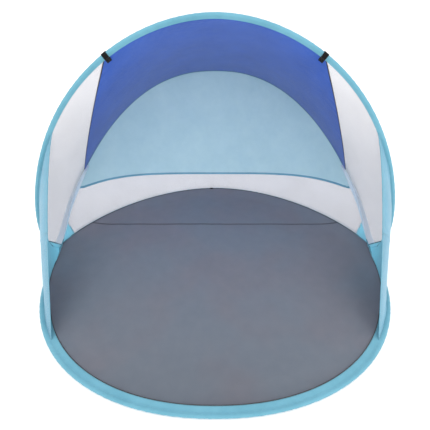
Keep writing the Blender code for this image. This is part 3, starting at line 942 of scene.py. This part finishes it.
back = cloth("back_cloth", BACK, PALE_BLUE)
back_rows = seam_rows(BACK, FACE_LIFT, ("near", 0.006)) + seam_rows(BACK, 0.0013, ("far", 0.013))
back_stitches = stitches("back_seam_stitches", back_rows, PALE_THREAD)
hem_line = beside_edge(BACK, "far", 0.0065, 0.0)
hem_across, hem_normal = directions_along(hem_line, normals_of(BACK)[:, -1])
HEM_BLUE = woven_blue("hem_shadow_cloth", (0.120, 0.330, 0.470), (0.165, 0.410, 0.560))
back_hem = swept("back_hem_fold", hem_line, hem_across, hem_normal, oval(0.0068, 0.0011), HEM_BLUE)
sew_in(behind, "pale_blue_polyester", back, back_stitches, back_hem)
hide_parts("back_panel")

# ---- Rear mesh --------------------------------------------------------------------------------
# A strip of the same white mesh joins the back's hem to the rear ground ring for ventilation, and
# widens at both sides, where it is caught in the rear arch's seam under a pale tape.

MESH_TURN = 0.80
MESH_ARCH_FOOT = 0.100
MESH_GROUND_FOOT = 0.155
REAR_MESH_STEPS, REAR_MESH_CELLS = 241, 31


def rear_mesh_grid():
    across = np.linspace(-1.0, 1.0, REAR_MESH_STEPS)
    side = np.where(across < 0, LEFT, RIGHT)
    far = np.abs(across)
    hem = hem_points(np.clip(across / MESH_TURN, -BACK_SPAN, BACK_SPAN))[1]
    beyond = np.clip((far - MESH_TURN) / (1 - MESH_TURN), 0.0, 1.0)
    arch_share = HEM_CORNER + (MESH_ARCH_FOOT - HEM_CORNER) * beyond
    edge = RINGS["rear_arch"].inside(arch_share, REAR_SEAM, side)
    top = np.where((far > MESH_TURN)[:, None], edge, hem)
    foot = RINGS["rear_ground"].inside(1 - far * (1 - MESH_GROUND_FOOT), REAR_SEAM, side)
    grid = np.linspace(top, foot, REAR_MESH_CELLS, axis=1)
    return gathered(grid, height=0.0012, fade=0.03, edges=(False, False, True, True), phase=3.0)


REAR_MESH = rear_mesh_grid()
rear_mesh = cloth("rear_mesh_cloth", REAR_MESH, WHITE_MESH, thickness=MESH_THICKNESS)
rear_mesh_rows = seam_rows(REAR_MESH, FACE_LIFT, ("far", 0.005))
rear_mesh_stitches = stitches("rear_mesh_stitches", rear_mesh_rows, PALE_THREAD)
sew_in(behind, "white_mesh", rear_mesh, rear_mesh_stitches)
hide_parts("rear_mesh")

# Pale tape down the rear arch's seam, from the back panel's corner to the crossing.
TAPE_TOP, TAPE_FOOT = 0.325, 0.030
TAPE_OUTER_EDGE = 0.0066
TAPE_INNER_EDGE = (0.02, 0.09, 0.235, TAPE_TOP), (0.0100, 0.0200, 0.0290, 0.0240)
TAPE_RISE, TAPE_TILT = 0.0020, 0.0016
SEAM_TAPE = woven_blue("seam_tape_cloth", (0.620, 0.740, 0.850), (0.700, 0.810, 0.900), through=0.08)
for label, side in SIDES.items():
    share = np.linspace(TAPE_FOOT, TAPE_TOP, 140)
    arch = RINGS["rear_arch"]
    line, away, facing = arch.place(share, side), arch.outwards(share, side), arch.faceward(share, side)
    facing = facing * np.sign(facing[:, 2:3] - facing[:, 1:2])
    inner_edge = np.interp(share, *TAPE_INNER_EDGE)[:, None, None]
    part = np.linspace(0.0, 1.0, 9)[None, :, None]
    inset = TAPE_OUTER_EDGE + (inner_edge - TAPE_OUTER_EDGE) * part
    waves = 0.0004 * pucker(share * arch.length, side)[:, None, None] * part
    grid = line[:, None] - away[:, None] * inset + facing[:, None] * (TAPE_RISE + TAPE_TILT * part + waves)
    tape = cloth("rear_seam_tape_" + label, grid, SEAM_TAPE, thickness=0.0007)
    sew_in(behind, "pale_blue_polyester", tape)

# ---- Rear corner patches ----------------------------------------------------------------------
# Triangles of light blue cloth close the rear corners, between the rear arch and the ground ring.

CORNER_OVERLAP = 0.006
for label, side in SIDES.items():
    grid = patch_fan(("rear_arch", MESH_ARCH_FOOT + CORNER_OVERLAP, REAR_SEAM),
                     ("rear_ground", MESH_GROUND_FOOT + CORNER_OVERLAP, REAR_SEAM), side, phase=2 + side)
    # Painted light: these patches take the pale corner cloth, to brighten the shaded rear corners.
    patch = cloth("corner_cloth_" + label, grid, CORNER_PAINTED_LIGHT_BLUE, thickness=PATCH_THICKNESS)
    rows = seam_rows(grid, PATCH_LIFT, ("last", 0.003), ("last", 0.009))
    seam = stitches("corner_stitches_" + label, rows, BLUE_THREAD)
    sew_in(behind, "light_blue_polyester", patch, seam)
    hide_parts("corner_patch_" + label)

# ---- Front gussets and hems -------------------------------------------------------------------
# At each side a web of light blue cloth fills the corner between the front arch and the front ground
# ring.  Its free edge is a doubled hem that is pulled dead straight when the rings spring open.

HEM_TOP_SHARE = 0.441
HEM_FOOT_SHARE = 0.423
FRONT_HEM_WIDTH = 0.027
HEM_BOW = 0.023
GUSSET_STEPS, GUSSET_CELLS = 91, 81
HEM_THICKNESS = 0.0018
HEM_SEAMS = ("first", 0.003), ("last", 0.003)


def gusset_grids(side):
    """The web and its hem, each as one grid from the front arch to the front ground ring."""
    arch, ground = RINGS["front_arch"], RINGS["front_ground"]
    along = np.linspace(0.0, 1.0, GUSSET_STEPS)
    top = (HEM_TOP_SHARE - FRONT_HEM_WIDTH / arch.length) * along
    foot = (HEM_FOOT_SHARE - FRONT_HEM_WIDTH / ground.length) * along
    foot_inset = np.minimum(FRONT_SEAM, 0.9 * inner_reach("front_ground", foot))
    web = stretched(("front_arch", top, FRONT_SEAM), ("front_ground", foot, foot_inset), side, GUSSET_CELLS)
    down = np.linspace(0.0, 1.0, GUSSET_CELLS)
    bow = side * HEM_BOW * 3.57 * down**0.7 * (1 - down) ** 1.25
    along = along[:, None]
    web[..., 0] += bow * along**1.5
    sewn = (False, True, True, True)
    web = gathered(web, height=0.0016, fade=0.03, edges=sewn, phase=4.0 + side, drift=0.003)
    ends = np.minimum(down, 1 - down)
    crease = np.exp(-(((along - 0.80 + 0.9 * ends) / 0.045) ** 2)) * np.exp(-ends / 0.16)
    rumple = np.sin(down * 95 + along * 22) * np.exp(-(((along - 0.55) / 0.22) ** 2)) * np.exp(-ends / 0.10)
    lift = (0.005 * crease + 0.0022 * rumple) * np.minimum(1.0, ends / 0.02)
    web = web + normals_of(web) * lift[..., None]
    strip = np.linspace(-0.0030, FRONT_HEM_WIDTH, 7) - FRONT_HEM_WIDTH
    hem = stretched(("front_arch", HEM_TOP_SHARE + strip / arch.length, FRONT_SEAM),
                    ("front_ground", HEM_FOOT_SHARE + strip / ground.length, FRONT_SEAM), side, GUSSET_CELLS)
    hem[..., 0] += bow
    run = down * np.linalg.norm(hem[0, 0] - hem[0, -1])
    return web, hem + normals_of(hem) * (0.0005 * pucker(run, side))[None, :, None]


def lower_half(grid):
    """The part of a web or hem below the middle, with a last row tucked in behind the upper half."""
    half = grid.shape[1] // 2
    made = grid[:, half - 1:].copy()
    made[:, 0, 0] += np.sign(made[:, 0, 0]) * 0.0020
    return made


HEM_TAPE = woven_blue("front_hem_cloth", (0.075, 0.270, 0.375), (0.105, 0.330, 0.445))
# The web's blue is darker than the sleeves': painted shade for a web that hangs in shade. Its corner at the
# crossing is painted light.
GUSSET_SHADED_BLUE_LIT_CORNER = woven_blue("gusset_web_cloth", (0.066, 0.265, 0.390), (0.100, 0.340, 0.480),
                         corner=(0.26, 0.78, 0.95))
on_front_arch = tuple(RINGS["front_arch"].place(1.0)[0])
above_floor = (0.0, float(RINGS["front_ground"].place(1.0)[0, 1]), 0.045)
UPPER = slice(0, GUSSET_CELLS // 2 + 1)
GUSSETS = {}


def with_arch(piece):
    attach(piece, "front_arch")
    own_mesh(piece)


def with_floor(piece):
    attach(piece, "front_floor")
    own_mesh(piece)


for label, side in SIDES.items():
    web, hem = gusset_grids(side)
    for part, follow, web_half, hem_half in (("upper", with_arch, web[:, UPPER], hem[:, UPPER]),
                                             ("lower", with_floor, lower_half(web), lower_half(hem))):
        gusset = cloth(f"gusset_cloth_{part}_{label}", web_half, GUSSET_SHADED_BLUE_LIT_CORNER)
        folded = cloth(f"front_hem_{part}_{label}", hem_half, HEM_TAPE, thickness=HEM_THICKNESS)
        rows = seam_rows(hem_half, HEM_THICKNESS / 2 + THREAD_LIFT, *HEM_SEAMS)
        seam = stitches(f"front_hem_stitches_{part}_{label}", rows, BLUE_THREAD)
        sew_in(follow, "light_blue_polyester", gusset, folded, seam)
        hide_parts(f"gusset_{part}_{label}")
        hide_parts(f"hem_{part}_{label}")
        GUSSETS[part, label] = gusset, cut_size(web_half), cut_area(web_half)

# ---- Groundsheet ------------------------------------------------------------------------------
# One tough coated sheet inside the two ground rings, cut in a front and a rear piece and joined by a
# straight double-stitched seam behind the middle.  It curves up to the sleeves at its rim.

FLOOR_SEAM = 0.258
FLOOR_LEVEL = 0.0015
FLOOR_RISE = 0.10
FLOOR_STEPS, FLOOR_CELLS = 150, 101
RIM_POINTS = 480
BLACK, WHITE = (0.0,) * 3, (1.0,) * 3


def coated_grey(name, shade=1.0):
    """Coated woven sheet: a faint square weave, cloudy grey with a blue and a warm cast, soft folds.

    It is painted darker towards the entrance, as painted shade.
    """
    sheet = Finish(name, roughness=0.6, specular=0.4)
    along, across = sheet.cloth_uv()
    turns = 2 * math.pi / 0.0024
    weave = (along * turns).wave() * (across * turns).wave()
    broad = sheet.cloud(2.2, 3.0, 0.5)
    fine = sheet.cloud(16.0, 4.0, 0.55)
    grit = sheet.cloud(260.0, 2.0)
    cool = sheet.shades(fine, (0.3, (0.165, 0.194, 0.240)), (0.7, (0.184, 0.212, 0.258)))
    warm = sheet.shades(fine, (0.3, (0.175, 0.186, 0.226)), (0.7, (0.196, 0.202, 0.242)))
    both = sheet.tint(sheet.shades(broad, (0.42, BLACK), (0.60, WHITE)), cool, warm)
    # Painted shade: the grey is darkened towards the entrance, by each point's place from front to back.
    split = sheet.node("ShaderNodeSeparateXYZ", values={0: sheet.place()})
    depth = Varying(sheet, split.socket.node.outputs[1])
    front_painted_shade = ((0.93 + depth * 0.38) * shade).kept()
    greys = sheet.shades(front_painted_shade, (0.0, BLACK), (1.0, WHITE))
    sheet.feed("Base Color", sheet.tint(1.0, both, greys, blend="MULTIPLY"))
    sheet.feed("Roughness", (0.50 + fine * 0.2 + grit * 0.06).kept())
    sheet.bump(fine * 0.8 + weave * 0.05 + grit * 0.05, 0.0018)
    return sheet.material


GROUND_GREY = coated_grey("coated_groundsheet")
GREY_THREAD = sewing_thread("grey_thread", (0.16, 0.18, 0.22), (0.07, 0.08, 0.10))


def rim_line(front_inset, rear_inset):
    """A line round the groundsheet on the right, from the front middle past the crossing to the rear middle.

    The insets, from the two ground rings' wires, are functions of the share along each.  The line
    runs straight past the crossing, where the wires stand up off the ground, and is eased there.
    """
    front, rear = RINGS["front_ground"], RINGS["rear_ground"]
    share = np.linspace(1.0, 0.09, RIM_POINTS)
    first = front.inside(share, front_inset(share))
    share = np.linspace(0.11, 1.0, RIM_POINTS)
    second = rear.inside(share, rear_inset(share))
    past = np.linspace(0.0, 1.0, 90)[1:-1, None]
    line = np.vstack([first, first[-1] + (second[0] - first[-1]) * past, second])
    smooth = np.exp(-(np.linspace(-2.5, 2.5, 61) ** 2))
    smooth /= smooth.sum()
    near = np.exp(-(((line[:, 1] - FOLD[1]) / 0.20) ** 2))[:, None]
    padded = np.vstack([np.repeat(line[:1], 30, axis=0), line, np.repeat(line[-1:], 30, axis=0)])
    soft = np.stack([np.convolve(padded[:, axis], smooth, mode="valid") for axis in range(3)], axis=-1)
    eased = line * (1 - near) + soft * near
    eased[:, 0] += 0.013 * np.exp(-(((line[:, 1] - FOLD[1] - 0.03) / 0.08) ** 2))
    return eased


def band_edge(inset):
    """The inner edge of the front ground sleeve, and a little more."""
    return lambda share: np.maximum(inner_reach("front_ground", share) + inset, 0.003)


RIM = rim_line(band_edge(-0.018), lambda share: np.interp(share, (0.11, 0.30), (0.003, REAR_SEAM)))


def floor_grid():
    run = np.concatenate([[0.0], np.cumsum(np.linalg.norm(np.diff(RIM, axis=0), axis=1))])
    ease = (1 - np.cos(np.linspace(0.0, math.pi, FLOOR_STEPS))) / 2
    ease = 0.55 * ease + 0.45 * np.linspace(0.0, 1.0, FLOOR_STEPS)
    edge = np.stack([np.interp(ease * run[-1], run, RIM[:, axis]) for axis in range(3)], axis=-1)
    edge[np.argmin(np.abs(edge[:, 1] - FLOOR_SEAM)), 1] = FLOOR_SEAM
    share = np.sin(np.linspace(-math.pi / 2, math.pi / 2, FLOOR_CELLS))
    grid = np.zeros((FLOOR_STEPS, FLOOR_CELLS, 3))
    grid[..., 0] = edge[:, :1] * share
    grid[..., 1] = edge[:, 1:2]
    mirrored = np.vstack([RIM, RIM * (-1, 1, 1)])[::4]
    flat = grid[..., :2].reshape(-1, 1, 2) - mirrored[None, :, :2]
    apart = np.hypot(flat[..., 0], flat[..., 1])
    away = apart.min(axis=1).reshape(grid.shape[:2])
    height = mirrored[apart.argmin(axis=1), 2].reshape(grid.shape[:2])
    near = np.maximum(0.0, 1 - away / (FLOOR_RISE + height))
    grid[..., 2] = FLOOR_LEVEL + (height - FLOOR_LEVEL) * near**2
    x, y = grid[..., 0], grid[..., 1]
    lay = 0.5 + 0.5 * np.sin(9.0 * x + 3.0 * np.sin(4.1 * y + 0.5)) * np.sin(7.0 * y + 2.0 * np.sin(3.3 * x))
    seam_folds = np.sin(38.0 * x + 2.0 * np.sin(9.0 * x)) * np.exp(-np.abs(y - FLOOR_SEAM + 0.03) / 0.05)
    grid[..., 2] += (0.0035 * lay + 0.0014 * (1 + seam_folds)) * (1 - near) ** 2
    return grid


FLOOR = floor_grid()
groundsheet = cloth("groundsheet_cloth", FLOOR, GROUND_GREY, thickness=0.0010, weld=True)


def on_floor(line, lift):
    """Drops a line across the shelter on to the groundsheet."""
    rows = FLOOR[:, :, 1].mean(axis=1)
    order = np.argsort(rows)
    placed = np.array(line, float)
    for k, (x, y, _) in enumerate(placed):
        near = np.clip(np.searchsorted(rows[order], y), 1, len(rows) - 1)
        low, high = order[near - 1], order[near]
        mix = (y - rows[low]) / max(rows[high] - rows[low], 1e-9)
        heights = [np.interp(x, FLOOR[row, :, 0], FLOOR[row, :, 2]) for row in (low, high)]
        placed[k, 2] = heights[0] * (1 - mix) + heights[1] * mix + lift
    return placed


def seam_line(y):
    half = np.interp(y, RIM[-RIM_POINTS:, 1], RIM[-RIM_POINTS:, 0]) - 0.004
    x = np.linspace(-half, half, 260)
    return np.column_stack([x, np.full_like(x, y), np.zeros_like(x)])


# The seam band is the groundsheet's grey at 0.42 of its brightness: painted shade for the crease along the
# seam.
FLOOR_SEAM_PAINTED_SHADE = coated_grey("groundsheet_seam_band_painted_shade", 0.42)
band_middle = on_floor(seam_line(FLOOR_SEAM), 0.0008)
band_ahead = np.tile((0.0, 1.0, 0.0), (len(band_middle), 1))
band_up = np.tile((0.0, 0.0, 1.0), (len(band_middle), 1))
floor_seam = swept("groundsheet_seam", band_middle, band_ahead, band_up, oval(0.005, 0.0012), FLOOR_SEAM_PAINTED_SHADE)
floor_rows = [on_floor(seam_line(FLOOR_SEAM + shift), 0.0021) for shift in (-0.0035, 0.0035)]
floor_stitches = stitches("groundsheet_stitches", floor_rows, GREY_THREAD, {"Thread Width": 0.0009})


def over_fold(piece):
    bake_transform(piece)


sew_in(over_fold, "grey_groundsheet", groundsheet, floor_seam, floor_stitches)
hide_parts("groundsheet_front", "groundsheet_middle", "groundsheet_rear")

# A thin dark piping covers the seam between the groundsheet and the sleeves, all the way round; its near
# black is painted shadow along that seam.
PIPING_PAINTED_SHADOW = tape_black("groundsheet_piping", tone=0.050)
right = rim_line(band_edge(0.0005), lambda share: np.full(share.shape, 0.0100))
right[:, 2] += 0.0016
line = np.vstack([right, right[-2:0:-1] * (-1, 1, 1), right[:1]])
ahead = np.roll(line[:-1], -1, axis=0) - np.roll(line[:-1], 1, axis=0)
ahead = unit(np.vstack([ahead, ahead[:1]]))
across = unit(np.cross(ahead, (0.0, 0.0, 1.0)))
round_piping = oval(0.0018, 0.0016, count=8, power=1.0)
piping = swept("groundsheet_piping", line, across, np.cross(across, ahead), round_piping, PIPING_PAINTED_SHADOW)
sew_in(over_fold, "grey_groundsheet", piping)

# ---- Webbing bands ----------------------------------------------------------------------------
# A band of 25 mm black webbing is wrapped round the front sleeve at each front corner of the roof and
# box-stitched to the cloth.

BAND_WIDTH = 0.025
BAND_CENTRE = ROOF_FRONT_CORNER + 0.012
BAND_INWARD = 0.029
BAND_OUTWARD = 0.0150
BAND_THICKNESS = 0.0016
# How thick the sleeve and cloth under the band are, by the distance out from the wire.
BAND_BULK = (-BAND_INWARD, -0.016, -0.006, BAND_OUTWARD), (0.0016, 0.0026, 0.0068, 0.0072)
BOX_WIDTH = BAND_WIDTH - 0.007
# The corners of the box and cross of stitches, as shares of its width and of the band's reach inwards.
BOX_CORNERS = [(-0.5, -0.9), (0.5, -0.9), (0.5, -0.45), (-0.5, -0.45),
               (-0.5, -0.9), (0.5, -0.45), (-0.5, -0.45), (0.5, -0.9)]
WEBBING = tape_black("black_webbing_weave", tone=0.004, ribs=0.0026, strength=0.0006)


def box_stitch(arch, side, face):
    """The line of a box and cross of stitches, on one face of the band."""
    corner = np.arange(len(BOX_CORNERS))
    step = np.concatenate([np.linspace(start, start + 1, 12) for start in corner[:-1]])
    along, inwards = (np.interp(step, corner, shares) for shares in np.transpose(BOX_CORNERS))
    at = BAND_CENTRE + along * BOX_WIDTH / arch.length
    out = inwards * BAND_INWARD
    lift = np.interp(out, *BAND_BULK) + BAND_THICKNESS / 2
    return arch.inside(at, -out, side) + face * arch.faceward(at, side) * lift[:, None]


for label, side in SIDES.items():
    arch = RINGS["front_arch"]
    share = BAND_CENTRE + np.linspace(-0.5, 0.5, 15) * BAND_WIDTH / arch.length
    line, away, out = arch.place(share, side), arch.outwards(share, side), arch.faceward(share, side)
    turn = np.linspace(0.0, 2 * math.pi, 41)
    wide = np.where(np.cos(turn) > 0, BAND_OUTWARD, BAND_INWARD) * np.cos(turn)
    thick = np.interp(wide, *BAND_BULK) * np.sign(np.sin(turn)) * np.abs(np.sin(turn)) ** 0.5
    grid = line[:, None] + away[:, None] * wide[None, :, None] + out[:, None] * thick[None, :, None]
    band = cloth("webbing_band_" + label, grid, WEBBING, thickness=BAND_THICKNESS, weld=True)
    box_thread = sewing_thread("box_stitch_thread_" + label, (0.07, 0.07, 0.08), (0.03, 0.03, 0.035))
    rows = [box_stitch(arch, side, face) for face in (1, -1)]
    seam = stitches("webbing_stitches_" + label, rows, box_thread,
                    {"Stitch Pitch": 0.0026, "Stitch Length": 0.0021, "Thread Width": 0.0007})
    sew_in(lambda piece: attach(piece, "front_arch"), "black_webbing", band, seam)
    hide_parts("webbing_loop_" + label)

# ---- Peg loop ---------------------------------------------------------------------------------
# A short loop of black cord is sewn in at the middle of the rear ground ring, to take a peg.

LOOP_MIDDLE = -0.024
LOOP_HALF_WIDTH = 0.012
CORD_RADIUS = 0.0036
root = RINGS["rear_ground"].place(1.0)[0]
turn = np.linspace(-0.25, math.pi + 0.25, 60)
rise = np.maximum(np.sin(turn), -0.05)
cord_line = np.column_stack([LOOP_MIDDLE + LOOP_HALF_WIDTH * np.cos(turn) + 0.004 * rise,
                             root[1] + 0.012 + 0.024 * rise, 0.010 + 0.046 * rise])
cord_ahead = unit(np.gradient(cord_line, axis=0))
cord_side = unit(np.cross(cord_ahead, (0.0, 0.8, -0.6)))
round_cord = oval(CORD_RADIUS, CORD_RADIUS, count=10, power=1.0)
peg_cord = swept("peg_loop_cord", cord_line, cord_side, np.cross(cord_side, cord_ahead), round_cord, WEBBING)
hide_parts("peg_loop")
tab_line = np.linspace((LOOP_MIDDLE - 0.013, root[1] - 0.0125, root[2] + 0.0030),
                       (LOOP_MIDDLE + 0.009, root[1] - 0.0125, root[2] + 0.0030), 24)
tab_ahead, tab_up = np.tile((0.0, 1.0, 0.15), (24, 1)), np.tile((0.0, -0.15, 1.0), (24, 1))
tab = swept("peg_loop_tab", tab_line, tab_ahead, tab_up, oval(0.0060, 0.0014), WEBBING)
sew_in(lambda piece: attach(piece, "rear_floor"), "black_webbing", peg_cord, tab)

# ---- Declared cloth ---------------------------------------------------------------------------
# Each sheet's flat size is the cut of its panel; the trims sewn to it go with it.


for (part, label), (gusset, size, area) in GUSSETS.items():
    channel = "front_arch_channel" if part == "upper" else "front_ground_channel"
